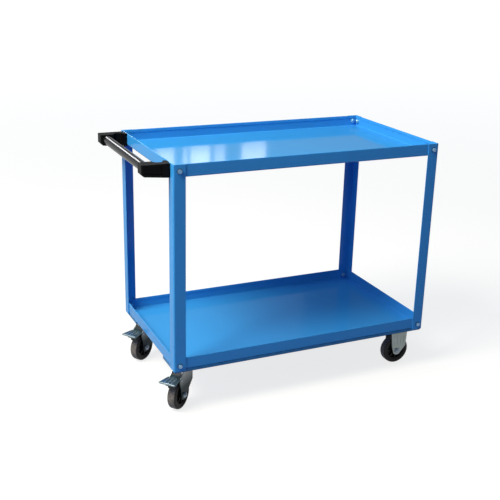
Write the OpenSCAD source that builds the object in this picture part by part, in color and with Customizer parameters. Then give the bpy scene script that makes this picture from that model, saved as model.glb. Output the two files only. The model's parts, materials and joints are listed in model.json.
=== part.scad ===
// Two-tier steel tool cart: two sheet pans bolted to four corner posts, a grip bar
// across the left end, two braked swivel casters under it and two fixed casters at
// the right end. The front is -Y, the handle end is -X, and the floor is Z = 0.

/* [Cart] */
// Length over the corner posts
cart_l = 920; // [700:10:1400]
// Width over the corner posts
cart_w = 524; // [440:2:800]
// Height of the upper rim above the floor
rim_h = 814; // [600:1:1100]

/* [Trays] */
// Height of a tray, from the underside of its floor to its rim
tray_h = 39; // [34:1:80]
// Sheet thickness of the trays
tray_t = 1.5; // [1:0.1:2.5]
// Outer radius of the bends round a tray's floor
tray_bend_r = 4; // [3.2:0.1:8]
// Height of the hem folded in along a tray's rim
hem_h = 10.5; // [6:0.5:11]

/* [Corner posts] */
// Width of a post's two legs
post_leg = 39; // [34:1:60]
// Sheet thickness of a post
post_t = 2.5; // [1.5:0.1:4]
// Outer radius of a post's bend
post_bend_r = 5; // [4.5:0.5:10]
// How far a post reaches below the lower tray
post_drop = 5; // [0:0.5:9]
// Distance of a tray bolt from the corner of the cart and from the rim
bolt_inset = 19.5; // [18.5:0.5:20]

/* [Caster rails] */
// Width of the rail under each long side of the lower tray
rail_w = 116; // [112:1:150]
// Height of a rail
rail_h = 11; // [9:0.5:30]
// Sheet thickness of a rail
rail_t = 2; // [1.5:0.1:3]
// Outer radius of a rail's bends
rail_bend_r = 4; // [3.2:0.1:8]

/* [Tray and caster bolts] */
// Diameter of a bolt's shank
bolt_d = 8; // [6:0.5:8]
// Width across the flats of a bolt's head and nut
bolt_af = 13; // [12.5:0.5:14]
// Height of a bolt's head
head_h = 5.3; // [4:0.1:6]
// Height of a nut
nut_h = 6.5; // [5:0.1:7]
// Diameter of the washer under a bolt's head
washer_d = 17; // [15.5:0.5:18]
// Thickness of a washer
washer_t = 1.6; // [1:0.1:2]
// How far a bolt's end stands out of its nut
bolt_end = 2; // [1:0.5:3]
// How much wider a hole is than the bolt in it
hole_play = 1; // [0.6:0.1:1.5]

/* [Handle] */
// Diameter of the grip bar
grip_d = 30; // [20:1:30]
// Wall of the grip bar
grip_t = 2; // [1.5:0.1:3]
// How far the brackets reach out from the posts
handle_reach = 87; // [80:1:140]
// Distance from a bracket's outer end to the grip bar's middle
grip_inset = 22; // [20:1:26]
// How far the grip bar's middle lies below the rim
grip_drop = 17; // [16.5:0.5:17.5]
// Distance from the cart's side to a bracket's outer face
bracket_inset = 23; // [20:1:26]
// Width of a bracket's socket block
socket_w = 41.5; // [38:0.5:60]
// Depth of the socket that holds the grip bar
socket_deep = 20; // [10:1:30]
// Thickness of a bracket's arm
arm_t = 24; // [20:1:28]
// Height of a bracket at the post
bracket_h = 42; // [40:1:60]
// Height of a bracket at its outer end
bracket_end_h = 35; // [34.5:0.5:38]
// Size of the corner cut off below a bracket's outer end
end_cut = 7; // [2:0.5:8]
// Depth of the panel sunk into a bracket's outer side
panel_deep = 4; // [1:0.5:8]
// Width of the edge left round that panel
panel_edge = 7; // [4:0.5:9]
// Distance from the post to the panel
panel_end = 24; // [16:1:36]
// Thickness of a bracket's foot
foot_t = 10; // [10:0.5:14]
// Radius of a bracket's rounded corners
bracket_r = 6; // [2:0.5:10]
// Radius of the web between a bracket's arm and its socket block
web_r = 15; // [5:1:17]
// Radius of the web between a bracket's arm and its foot
foot_web_r = 8; // [3:1:12]
// Diameter of the screws that hold a bracket
screw_d = 6; // [5:0.5:7]
// Length of a bracket screw's shank
screw_l = 11; // [8:0.5:11]
// Diameter of a bracket screw's head
screw_head_d = 11; // [9:0.5:12]
// Height of a bracket screw's head
screw_head_h = 3.3; // [2:0.1:4]
// Distance of a bracket screw from the side of the bracket's foot
screw_inset = 8; // [7:0.5:10]

/* [Wheels] */
// Diameter of a wheel
wheel_d = 100; // [90:1:104]
// Width of a tyre
tyre_w = 30; // [24:1:32]
// Thickness of the tyre over the wheel's centre
tyre_t = 13; // [8:1:16]
// Radius of a tyre's shoulders
shoulder_r = 7; // [3:0.5:7.5]
// Width of a wheel's hub
hub_w = 36; // [34:0.5:36.4]
// Diameter of a wheel's hub
hub_d = 26; // [22:1:32]
// Thickness of the disc between hub and rim
disc_t = 8; // [4:1:14]
// Thickness of the rim under the tyre
rim_t = 5; // [3:1:8]
// How far the rim ends inside the tyre's sides
rim_inset = 2; // [1:0.5:4]
// Diameter of the axle bolt
axle_d = 10; // [8:0.5:11]
// Diameter of the sleeve that a wheel turns on
sleeve_d = 14; // [13:0.5:16]
// Width across the flats of an axle bolt's head and nut
axle_af = 17; // [15:0.5:19]
// Height of an axle bolt's head and nut
axle_head_h = 6.4; // [5:0.1:8]

/* [Casters] */
// Height of a caster, from the floor to the top of its plate
caster_h = 147; // [145:1:170]
// Length of a caster's plate
plate_l = 100; // [92:1:110]
// Width of a caster's plate
plate_w = 80; // [72:1:84]
// Thickness of a caster's plate
plate_t = 3.5; // [2.5:0.1:5]
// Spacing of a caster's bolts along the cart
bolts_l = 77; // [74:1:82]
// Spacing of a caster's bolts across the cart
bolts_w = 56; // [56:1:60]
// Distance from the cart's end to a swivel caster's axis
swivel_inset_x = 58.5; // [56:0.5:90]
// Distance from the cart's side to a swivel caster's axis
swivel_inset_y = 74; // [70:0.5:78]
// Distance from the cart's end to a fixed caster's axle
fixed_inset_x = 54; // [53:0.5:90]
// Distance from the cart's side to the middle of a fixed caster
fixed_inset_y = 80; // [74:0.5:80]
// Thickness of the pressed steel of a fork
fork_t = 3; // [2:0.1:3.5]
// Outer radius of a fork's bends
fork_bend_r = 7; // [5:0.5:9]
// Radius of a fork's lower end round the axle
fork_end_r = 16; // [14:0.5:18]
// Distance from a swivel fork's axis to the front edge of its legs
fork_front = 21; // [18:0.5:24]
// Height above the axle at which that front edge starts to slope back
fork_knee = 34; // [28:1:40]
// Width of a swivel fork's legs behind the pedal pin
fork_back = 8; // [7.5:0.5:9]
// Distance from a fixed fork's axle to the outer edge of its legs
fixed_outer = 39; // [30:0.5:42]
// Distance from a fixed fork's axle to the inner edge of its legs
fixed_inner = 28; // [22:0.5:34]
// How far a fixed fork's legs draw in on each side towards the wheel
fixed_taper = 5; // [2:0.5:8]
// Height above the axle at which a fixed fork's inner edge starts to draw in
fixed_knee = 24; // [18:1:32]
// Clear gap on each side of a wheel's hub
hub_gap = 0.5; // [0.3:0.1:1]
// How far a swivel caster's wheel trails behind its axis
trail = 36; // [30:1:40]
// Turn of the front swivel caster at rest
front_turn = 41; // [0:0.5:60]
// Turn of the rear swivel caster at rest
rear_turn = 35.5; // [0:0.5:60]
// Diameter of the ball race between plate and fork
race_d = 58; // [50:1:62]
// Height of the ball race
race_h = 8.2; // [6:0.1:9]
// Width of the gap between the ball race and the kingpin
race_gap = 4; // [2:0.5:6]
// Diameter of the kingpin
kingpin_d = 12; // [10:0.5:16]
// Diameter of the kingpin's head
kingpin_head_d = 22; // [18:1:26]
// Height of the kingpin's head
kingpin_head_h = 5; // [3:0.5:6]

/* [Brakes] */
// Distance from a swivel caster's axis to its pedal pin
pedal_pin_x = 52; // [50:0.5:54]
// Height of the pedal pin above the axle
pedal_pin_z = 58; // [57:0.5:60]
// Diameter of the pedal pin
pedal_pin_d = 6; // [4:0.5:7]
// Distance from a swivel caster's axis to the pedal's tip
pedal_reach = 112; // [100:1:125]
// Width of the pedal at its tip
pedal_w = 60; // [46:1:70]
// Thickness of the pedal's sheet
pedal_t = 2.4; // [1.5:0.1:3]
// Height of the pedal's tread above its pin
pedal_rise = 9.5; // [8:0.5:11]
// Height of the pedal's turned-up lip
lip_h = 4; // [2:0.5:8]
// Turn of the pedal from released to braked
brake_turn = 14; // [8:1:16]
// Width of the brake shoe
shoe_w = 24; // [16:1:28]
// Length of the brake shoe's block behind the fork
shoe_l = 16; // [10:1:22]
// How far the brake shoe reaches below the pedal pin
shoe_drop = 20; // [12:1:24]
// Gap between the brake shoe and the pedal pin
shoe_gap = 2; // [1:0.5:3]
// Width of the tongue that runs from the brake shoe to the pedal's tip
tongue_w = 12; // [8:1:16]
// Thickness of that tongue
tongue_t = 6; // [4:0.5:8]
// Width of a rib pressed into the pedal's tread
rib_w = 3; // [2:0.5:4]
// Height of such a rib
rib_h = 1.2; // [0.6:0.1:2]
// Spacing of the ribs
rib_pitch = 12; // [9:0.5:16]
// Width of the metal round the pin in the pedal's lugs
lug_wall = 3; // [2:0.5:4]
// How far the rivet heads of the pedal pin stand out past it
rivet_edge = 2; // [1:0.5:3]
// Height of those rivet heads
rivet_h = 2.4; // [1.5:0.1:3]

/* [Fits] */
// Radial clearance of a shaft that turns in a bore
run_play = 0.05; // [0.02:0.01:0.1]
// Gap between faces that slide past each other
face_gap = 0.3; // [0.3:0.1:0.6]

/* [Hidden] */
$fn = 96;
cut = 1;

front = -1;
rear = 1;
left = -1;
right = 1;

blue = [0.13, 0.40, 0.72];
zinc = [0.66, 0.69, 0.71];
black = [0.06, 0.06, 0.065];
rubber = [0.09, 0.09, 0.09];

// Heights
low_floor_z = caster_h + rail_h;
low_rim_z = low_floor_z + tray_h;
post_z = low_floor_z - post_drop;
up_floor_z = rim_h - tray_h;

// Trays lie inside the posts
tray_l = cart_l - 2 * post_t;
tray_w = cart_w - 2 * post_t;
pan_corner_r = max(tray_bend_r, rail_bend_r, post_bend_r - post_t + face_gap);
bolt_zs = [rim_h - bolt_inset, post_z + bolt_inset];
hole_d = bolt_d + hole_play;
tray_grip = post_t + tray_t;

// Handle
bracket_y = cart_w / 2 - bracket_inset;
socket_y = bracket_y - socket_w;
grip_x = grip_inset - handle_reach;
grip_z = rim_h - grip_drop;
foot_step_y = cart_w / 2 - post_leg;
screw_ys = [bracket_y - screw_inset, socket_y + screw_inset];
screw_z = rim_h - (hem_h + bracket_h) / 2;

// Casters
axle_z = wheel_d / 2;
plate_r = 6;
plate_z = caster_h - plate_t;
crown_z = plate_z - race_h - face_gap;
fork_gap = hub_w + 2 * hub_gap;
fork_w = fork_gap + 2 * fork_t;
crown_r = race_d / 2;
swivel_x = cart_l / 2 - swivel_inset_x;
swivel_y = cart_w / 2 - swivel_inset_y;
fixed_x = cart_l / 2 - fixed_inset_x;
fixed_y = cart_w / 2 - fixed_inset_y;
bolt_grip = rail_t + plate_t;
// Where a fork's two edges meet its round end, in degrees from +x
swivel_edge_turns = [205, -10];
fixed_edge_turns = [230, -15];

// Brake
pin_z = axle_z + pedal_pin_z;
tread_z = pin_z + pedal_rise;
leg_tail = pedal_pin_x + fork_back;
cheek_y = fork_gap / 2 - face_gap;
cheek_r = pedal_pin_d / 2 + lug_wall;
cheek_slope = 30;
tread_x = leg_tail + 2 * face_gap;
tip_r = 6;
rivet_d = pedal_pin_d + 2 * rivet_edge;

// The origin lies under the middle of the cart's outer box: the brackets reach out on
// the left, bolt heads on the right and at the rear, and a pedal's corner at the front
head_out = washer_t + head_h;
pedal_out = (pedal_reach - tip_r) * sin(front_turn) + (pedal_w / 2 - tip_r) * cos(front_turn) + tip_r;
reach_front = max(swivel_y + pedal_out, cart_w / 2 + head_out);
cart_x = (handle_reach - head_out) / 2;
cart_y = (reach_front - cart_w / 2 - head_out) / 2;

module on_cart() {
  translate([cart_x, cart_y, 0])
    children();
}

// Sheet metal shapes

// A rectangle standing on y = 0, with its two lower corners rounded
module round_bottom(w, h, r) {
  translate([-w / 2, r])
    square([w, h - r]);
  translate([-w / 2 + r, 0])
    square([w - 2 * r, h]);
  translate([-w / 2 + r, r])
    circle(r = r);
  translate([w / 2 - r, r])
    circle(r = r);
}

// A block whose upright corners are rounded to one radius and its lower edges to another
module pan_block(l, w, h, corner_r, edge_r) {
  intersection() {
    rotate([90, 0, 90])
      linear_extrude(l, center = true)
        round_bottom(w, h, edge_r);
    rotate([90, 0, 0])
      linear_extrude(w, center = true)
        round_bottom(l, h, edge_r);
    round_plate(l, w, h, corner_r);
  }
}

// An open pan bent from sheet, standing on z = 0
module pan(l, w, h, t, r) {
  difference() {
    pan_block(l, w, h, pan_corner_r, r);
    translate([0, 0, t])
      pan_block(l - 2 * t, w - 2 * t, h, pan_corner_r - t, r - t);
  }
}

// The folded edge inside a pan's rim
module hem(l, w, h) {
  outer_r = pan_corner_r - tray_t;
  translate([0, 0, h - hem_h])
    difference() {
      round_plate(l - 2 * tray_t, w - 2 * tray_t, hem_h, outer_r);
      translate([0, 0, -cut])
        round_plate(l - 4 * tray_t, w - 4 * tray_t, hem_h + 2 * cut, max(outer_r - tray_t, tray_t / 4));
    }
}

module round_corner(size, r) {
  translate([r, 0])
    square([size, size + r]);
  translate([0, r])
    square([size + r, size]);
  translate([r, r])
    circle(r = r);
}

// An angle's section, with its bend at the origin and its legs along +x and +y
module angle_section(leg, t, r) {
  intersection() {
    square(leg);
    difference() {
      round_corner(leg, r);
      translate([t, t])
        round_corner(leg, r - t);
    }
  }
}

module round_plate(l, w, t, r) {
  linear_extrude(t) {
    square([l - 2 * r, w], center = true);
    square([l, w - 2 * r], center = true);
    for (sx = [-1, 1], sy = [-1, 1])
      translate([sx * (l / 2 - r), sy * (w / 2 - r)])
        circle(r = r);
  }
}

// Bolts and nuts, drawn along +z

module hexagon(af, h) {
  cylinder(d = af / cos(30), h = h, $fn = 6);
}

// A bolt whose head lies above z = 0 and whose shank hangs below it
module bolt(d, af, h, shank) {
  hexagon(af, h);
  translate([0, 0, -shank])
    cylinder(d = d, h = shank + h / 2);
}

module nut(d, af, h) {
  difference() {
    hexagon(af, h);
    translate([0, 0, -cut])
      cylinder(d = d + 2 * run_play, h = h + 2 * cut);
  }
}

// Every bolted place where a post meets a tray, with +z pointing out of the cart. The posts
// are bolted to the long sides of both trays, and to the right end of the upper one, whose
// left end carries the handle brackets.
module at_tray_bolts() {
  for (sx = [left, right], sy = [front, rear], z = bolt_zs)
    translate([sx * (cart_l / 2 - bolt_inset), sy * cart_w / 2, z])
      rotate([-90 * sy, 0, 0])
        rotate([0, 0, 30])
          children();
  for (sy = [front, rear])
    translate([cart_l / 2, sy * (cart_w / 2 - bolt_inset), rim_h - bolt_inset])
      rotate([0, 90, 0])
        children();
}

module tray_bolt_holes() {
  at_tray_bolts()
    translate([0, 0, -tray_grip - cut])
      cylinder(d = hole_d, h = tray_grip + 2 * cut);
}

module tray_bolts() {
  color(zinc)
    on_cart()
      at_tray_bolts()
        translate([0, 0, washer_t])
          bolt(bolt_d, bolt_af, head_h, washer_t + tray_grip + nut_h + bolt_end);
}

module tray_washers() {
  color(zinc)
    on_cart()
      at_tray_bolts()
        difference() {
          cylinder(d = washer_d, h = washer_t);
          translate([0, 0, -cut])
            cylinder(d = hole_d, h = washer_t + 2 * cut);
        }
}

module tray_nuts() {
  color(zinc)
    on_cart()
      at_tray_bolts()
        translate([0, 0, -tray_grip - nut_h])
          nut(bolt_d, bolt_af, nut_h);
}

// Trays

module tray(z) {
  difference() {
    translate([0, 0, z]) {
      pan(tray_l, tray_w, tray_h, tray_t, tray_bend_r);
      hem(tray_l, tray_w, tray_h);
    }
    tray_bolt_holes();
  }
}

module upper_tray() {
  color(blue)
    on_cart()
      difference() {
        tray(up_floor_z);
        at_handle_screws()
          cylinder(d = screw_d + hole_play, h = 2 * screw_l, center = true);
      }
}

module lower_tray() {
  color(blue)
    on_cart()
      tray(low_floor_z);
}

// Rails under the lower tray

module at_caster_bolts() {
  for (sx = [-1, 1], sy = [-1, 1])
    translate([sx * bolts_l / 2, sy * bolts_w / 2, 0])
      children();
}

module caster_rail(side) {
  color(blue)
    on_cart()
      difference() {
        translate([0, side * (tray_w - rail_w) / 2, caster_h])
          pan(tray_l, rail_w, rail_h, rail_t, rail_bend_r);
        for (place = [[-swivel_x, side * swivel_y], [fixed_x, side * fixed_y]])
          translate([place[0], place[1], caster_h - cut])
            at_caster_bolts()
              cylinder(d = hole_d, h = rail_t + 2 * cut);
      }
}

// Corner posts

module post(sx, sy) {
  color(blue)
    on_cart()
      difference() {
        translate([sx * cart_l / 2, sy * cart_w / 2, post_z])
          mirror([sx == right ? 1 : 0, 0, 0])
            mirror([0, sy == rear ? 1 : 0, 0])
              linear_extrude(rim_h - post_z)
                angle_section(post_leg, post_t, post_bend_r);
        tray_bolt_holes();
        if (sx == left)
          at_handle_screws()
            cylinder(d = screw_d + hole_play, h = 2 * screw_l, center = true);
      }
}

// Handle

// Each bracket screw, with +z pointing out of the cart's left end
module at_handle_screws() {
  for (sy = [front, rear], y = screw_ys)
    translate([-tray_l / 2, sy * y, screw_z])
      rotate([0, -90, 0])
        children();
}

module handle_screws() {
  color(zinc)
    on_cart()
      at_handle_screws()
        translate([0, 0, -tray_t]) {
          cylinder(d = screw_d, h = screw_l);
          translate([0, 0, -screw_head_h])
            cylinder(d = screw_head_d, h = screw_head_h);
        }
}

module handle_bar() {
  bar_l = 2 * (socket_y + socket_deep - face_gap);
  color(black)
    on_cart()
      translate([grip_x - cart_l / 2, 0, grip_z])
        rotate([90, 0, 0])
          difference() {
            cylinder(d = grip_d, h = bar_l, center = true);
            cylinder(d = grip_d - 2 * grip_t, h = bar_l + 2 * cut, center = true);
          }
}

// A bracket seen from above, with the post's face at x = 0
module bracket_plan() {
  end_x = -handle_reach;
  r = bracket_r;
  block_l = 2 * grip_inset;
  translate([end_x + r, bracket_y - arm_t])
    square([handle_reach - r, arm_t]);
  translate([end_x, socket_y + r])
    square([block_l, socket_w - 2 * r]);
  translate([end_x + r, socket_y])
    square([block_l - r, socket_w]);
  for (y = [socket_y + r, bracket_y - r])
    translate([end_x + r, y])
      circle(r = r);
  translate([-foot_t, socket_y])
    square([foot_t, socket_w]);
  translate([0, socket_y])
    square([post_t, foot_step_y - socket_y]);
  translate([end_x + block_l, bracket_y - arm_t])
    web(web_r);
  translate([-foot_t, bracket_y - arm_t])
    mirror([1, 0])
      web(foot_web_r);
}

// Fills the inside corner between a wall on x = 0 and a wall on y = 0 above it
module web(r) {
  difference() {
    translate([-cut, -r])
      square([r + cut, r + cut]);
    translate([r, -r])
      circle(r = r);
  }
}

module bracket_side() {
  polygon([
    [post_t, 0], [post_t, -bracket_h], [-foot_t, -bracket_h],
    [end_cut - handle_reach, -bracket_end_h], [-handle_reach, end_cut - bracket_end_h], [-handle_reach, 0]
  ]);
}

module panel_side() {
  slope = (bracket_h - bracket_end_h) / (handle_reach - foot_t);
  low = panel_edge - bracket_end_h;
  polygon([
    [panel_edge - handle_reach, -panel_edge], [-panel_end, -panel_edge],
    [-panel_end, low - slope * (handle_reach - panel_end - panel_edge)],
    [end_cut + panel_edge - handle_reach, low], [panel_edge - handle_reach, low + end_cut]
  ]);
}

module handle_bracket(side) {
  color(black)
    on_cart()
      difference() {
        translate([-cart_l / 2, 0, rim_h])
          mirror([0, side == front ? 1 : 0, 0])
            difference() {
              intersection() {
                translate([0, 0, -bracket_h])
                  linear_extrude(bracket_h)
                    bracket_plan();
                translate([0, bracket_y, 0])
                  rotate([90, 0, 0])
                    linear_extrude(socket_w)
                      bracket_side();
              }
              translate([0, bracket_y + cut, 0])
                rotate([90, 0, 0])
                  linear_extrude(panel_deep + cut)
                    panel_side();
              translate([grip_x, socket_y + socket_deep, -grip_drop])
                rotate([90, 0, 0])
                  cylinder(d = grip_d + 2 * run_play, h = socket_deep + cut);
            }
        at_handle_screws()
          translate([0, 0, -cut])
            cylinder(d = screw_d + 2 * run_play, h = screw_l - tray_t + face_gap + cut);
      }
}

// Casters, drawn with the swivel axis or the axle over the origin and the wheel
// trailing towards +x

module at_swivel_plate(side) {
  on_cart()
    translate([-swivel_x, side * swivel_y, 0])
      children();
}

module at_swivel(side) {
  at_swivel_plate(side)
    rotate([0, 0, 180 + (side == front ? front_turn : rear_turn)])
      children();
}

module at_fixed(side) {
  on_cart()
    translate([fixed_x, side * fixed_y, 0])
      rotate([0, 0, 180])
        children();
}

// Turns +z into the axle's direction
module on_axle(x) {
  translate([x, 0, axle_z])
    rotate([-90, 0, 0])
      children();
}

module caster_bolts() {
  color(zinc)
    for (side = [front, rear]) {
      at_swivel_plate(side)
        at_caster_bolts()
          caster_bolt();
      at_fixed(side)
        at_caster_bolts()
          caster_bolt();
    }
}

module caster_bolt() {
  translate([0, 0, caster_h + rail_t])
    bolt(bolt_d, bolt_af, head_h, bolt_grip + nut_h + bolt_end);
}

module caster_nuts() {
  color(zinc)
    for (side = [front, rear]) {
      at_swivel_plate(side)
        at_caster_bolts()
          caster_nut();
      at_fixed(side)
        at_caster_bolts()
          caster_nut();
    }
}

module caster_nut() {
  translate([0, 0, plate_z - nut_h])
    nut(bolt_d, bolt_af, nut_h);
}

module caster_plate() {
  color(zinc)
    difference() {
      translate([0, 0, plate_z])
        round_plate(plate_l, plate_w, plate_t, plate_r);
      translate([0, 0, plate_z - cut])
        at_caster_bolts()
          cylinder(d = hole_d, h = plate_t + 2 * cut);
      translate([0, 0, plate_z - cut])
        cylinder(d = kingpin_d + 2 * run_play, h = plate_t + 2 * cut);
    }
}

module fixed_plate() {
  color(zinc)
    difference() {
      translate([0, 0, plate_z])
        round_plate(plate_l, plate_w, plate_t, plate_r);
      translate([0, 0, plate_z - cut])
        at_caster_bolts()
          cylinder(d = hole_d, h = plate_t + 2 * cut);
    }
}

module race() {
  rim_r = race_h / 2;
  inner_r = kingpin_d / 2 + race_gap;
  color(zinc)
    translate([0, 0, plate_z - race_h])
      rotate_extrude() {
        translate([inner_r, 0])
          square([race_d / 2 - rim_r - inner_r, race_h]);
        translate([race_d / 2 - rim_r, rim_r])
          circle(r = rim_r);
      }
}

module kingpin() {
  head_z = crown_z - fork_t - face_gap - kingpin_head_h;
  color(zinc) {
    translate([0, 0, head_z])
      cylinder(d = kingpin_head_d, h = kingpin_head_h);
    translate([0, 0, head_z])
      cylinder(d = kingpin_d, h = caster_h - head_z);
  }
}

// A strip bent down on both sides, as seen along x, with its top at y = 0
module fork_section(h) {
  difference() {
    translate([0, -h])
      mirror([0, 1, 0])
        translate([0, -h])
          round_bottom(fork_w, h, fork_bend_r);
    translate([0, -h - cut])
      mirror([0, 1, 0])
        translate([0, -h - cut + fork_t])
          round_bottom(fork_gap, h + cut, fork_bend_r - fork_t);
  }
}

// Cuts a bent strip of steel to the outline of its two legs, seen from the side
module fork_shell(top_z, lead, tail) {
  intersection() {
    translate([-lead, 0, top_z])
      rotate([90, 0, 90])
        linear_extrude(lead + tail)
          fork_section(top_z - axle_z + fork_end_r);
    rotate([90, 0, 0])
      linear_extrude(fork_w, center = true)
        children();
  }
}

// A point on a fork's round lower end
function on_end(x, angle) = [x + fork_end_r * cos(angle), axle_z + fork_end_r * sin(angle)];

module swivel_leg_outline() {
  polygon([
    [-fork_front, crown_z], [-fork_front, axle_z + fork_knee],
    on_end(trail, swivel_edge_turns[0]), on_end(trail, swivel_edge_turns[1]),
    [leg_tail, pin_z - pedal_pin_d], [leg_tail, pin_z + pedal_pin_d],
    [crown_r + pedal_pin_d, crown_z]
  ]);
  translate([trail, axle_z])
    circle(r = fork_end_r);
}

module swivel_fork() {
  color(zinc)
    difference() {
      union() {
        fork_shell(crown_z, fork_front, leg_tail)
          swivel_leg_outline();
        translate([0, 0, crown_z - fork_t])
          cylinder(r = crown_r, h = fork_t);
      }
      translate([0, 0, crown_z - fork_t - cut])
        cylinder(d = kingpin_d + 2 * run_play, h = fork_t + 2 * cut);
      axle_hole(trail);
      translate([pedal_pin_x, 0, pin_z])
        rotate([90, 0, 0])
          cylinder(d = pedal_pin_d + 2 * run_play, h = fork_w + 2 * cut, center = true);
    }
}

module axle_hole(x) {
  on_axle(x)
    cylinder(d = axle_d + 2 * run_play, h = fork_w + 2 * cut, center = true);
}

module fixed_leg_outline() {
  polygon([
    [-fixed_outer, plate_z], [fixed_taper - fixed_outer, axle_z + fork_end_r],
    on_end(0, fixed_edge_turns[0]), on_end(0, fixed_edge_turns[1]),
    [fixed_inner - fixed_taper, axle_z + fixed_knee], [fixed_inner, plate_z]
  ]);
  translate([0, axle_z])
    circle(r = fork_end_r);
}

module fixed_fork() {
  color(zinc)
    difference() {
      fork_shell(plate_z, fixed_outer, fixed_inner)
        fixed_leg_outline();
      axle_hole(0);
    }
}

module tyre(x) {
  color(rubber)
    on_axle(x)
      rotate_extrude()
        intersection() {
          translate([wheel_d / 2 - tyre_t, -tyre_w / 2])
            square([tyre_t, tyre_w]);
          tyre_outline();
        }
}

// The tyre's outer form: a tread between two round shoulders
module tyre_outline() {
  r = wheel_d / 2;
  edge = tyre_w / 2 - shoulder_r;
  translate([0, -tyre_w / 2])
    square([r - shoulder_r, tyre_w]);
  translate([0, -edge])
    square([r, 2 * edge]);
  for (s = [-1, 1])
    translate([r - shoulder_r, s * edge])
      circle(r = shoulder_r);
}

module wheel(x) {
  r = wheel_d / 2 - tyre_t;
  bore = sleeve_d / 2 + run_play;
  rim_w = tyre_w - 2 * rim_inset;
  color(black)
    on_axle(x)
      rotate_extrude() {
        translate([bore, -hub_w / 2])
          square([hub_d / 2 - bore, hub_w]);
        translate([bore, -disc_t / 2])
          square([r - bore, disc_t]);
        translate([r - rim_t, -rim_w / 2])
          square([rim_t, rim_w]);
      }
}

module sleeve(x) {
  color(zinc)
    on_axle(x)
      difference() {
        cylinder(d = sleeve_d, h = fork_gap, center = true);
        cylinder(d = axle_d + 2 * run_play, h = fork_gap + 2 * cut, center = true);
      }
}

module axle(x) {
  color(zinc)
    on_axle(x)
      translate([0, 0, -fork_w / 2])
        mirror([0, 0, 1])
          bolt(axle_d, axle_af, axle_head_h, fork_w + axle_head_h + bolt_end);
}

module axle_nut(x) {
  color(zinc)
    on_axle(x)
      translate([0, 0, fork_w / 2])
        nut(axle_d, axle_af, axle_head_h);
}

// Brake

module brake_pin() {
  color(zinc)
    translate([pedal_pin_x, 0, pin_z])
      rotate([90, 0, 0]) {
        cylinder(d = pedal_pin_d, h = fork_w, center = true);
        for (s = [-1, 1])
          translate([0, 0, s * (fork_w + rivet_h) / 2])
            cylinder(d = rivet_d, h = rivet_h, center = true);
      }
}

// The pedal seen from above: a neck between the fork's legs, then a foot plate that
// widens to its tip
module tread_plan() {
  tip = pedal_reach - tip_r;
  half = pedal_w / 2 - tip_r;
  translate([pedal_pin_x - cheek_r, -cheek_y])
    square([tread_x - pedal_pin_x + cheek_r + cut, 2 * cheek_y]);
  polygon([
    [tread_x, -fork_w / 2], [tip, -pedal_w / 2], [tip, pedal_w / 2], [tread_x, fork_w / 2]
  ]);
  translate([tip - cut, -half])
    square([tip_r + cut, 2 * half]);
  for (s = [-1, 1])
    translate([tip, s * half])
      circle(r = tip_r);
}

module pedal() {
  color(zinc)
    difference() {
      union() {
        translate([0, 0, tread_z - pedal_t])
          linear_extrude(pedal_t)
            tread_plan();
        pedal_lip();
        pedal_ribs();
        for (s = [-1, 1])
          pedal_cheek(s);
      }
      translate([pedal_pin_x, 0, pin_z])
        rotate([90, 0, 0])
          cylinder(d = pedal_pin_d + 2 * run_play, h = fork_w, center = true);
    }
}

// The tip's edge, bent up against a slipping foot
module pedal_lip() {
  intersection() {
    translate([0, 0, tread_z - pedal_t])
      linear_extrude(lip_h + pedal_t)
        tread_plan();
    translate([pedal_reach - pedal_t, -pedal_w / 2, tread_z - pedal_t])
      cube([pedal_t, pedal_w, lip_h + pedal_t]);
  }
}

module pedal_ribs() {
  inset = 2 * rib_w;
  for (y = [-1, 0, 1] * rib_pitch)
    translate([tread_x + inset, y - rib_w / 2, tread_z - pedal_t])
      cube([pedal_reach - tread_x - 2 * inset, rib_w, pedal_t + rib_h]);
}

// One of the two lugs that hang the pedal on its pin, inside the fork's legs
module pedal_cheek(s) {
  translate([pedal_pin_x, s * (cheek_y - pedal_t / 2), pin_z])
    rotate([90, 0, 0])
      linear_extrude(pedal_t, center = true) {
        circle(r = cheek_r);
        polygon([
          [-cheek_r, 0], [-cheek_r, pedal_rise], [2 * fork_back, pedal_rise],
          cheek_r * [cos(cheek_slope), -sin(cheek_slope)]
        ]);
      }
}

// Moves the wheel to where the brake shoe meets it when the pedal is down
module at_braked_axle() {
  translate([pedal_pin_x, 0, pin_z])
    rotate([0, -brake_turn, 0])
      translate([trail - pedal_pin_x, 0, axle_z - pin_z])
        rotate([90, 0, 0])
          children();
}

module shoe() {
  top = tread_z - pedal_t;
  shoe_x = pedal_pin_x + pedal_pin_d / 2 + shoe_gap;
  color(black)
    difference() {
      union() {
        translate([shoe_x, -shoe_w / 2, pin_z - shoe_drop])
          cube([fork_back + shoe_l, shoe_w, top - pin_z + shoe_drop]);
        translate([shoe_x, -tongue_w / 2, top - tongue_t])
          cube([pedal_reach - tip_r - shoe_x, tongue_w, tongue_t]);
      }
      at_braked_axle()
        cylinder(r = wheel_d / 2 + face_gap, h = 2 * shoe_w, center = true);
    }
}

upper_tray();
lower_tray();
caster_rail(front);  // rail_front
caster_rail(rear);  // rail_rear
post(left, front);  // post_front_left
post(right, front);  // post_front_right
post(left, rear);  // post_rear_left
post(right, rear);  // post_rear_right
tray_bolts();
tray_washers();
tray_nuts();
caster_bolts();
caster_nuts();
handle_bar();
handle_bracket(front);  // handle_bracket_front
handle_bracket(rear);  // handle_bracket_rear
handle_screws();

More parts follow.
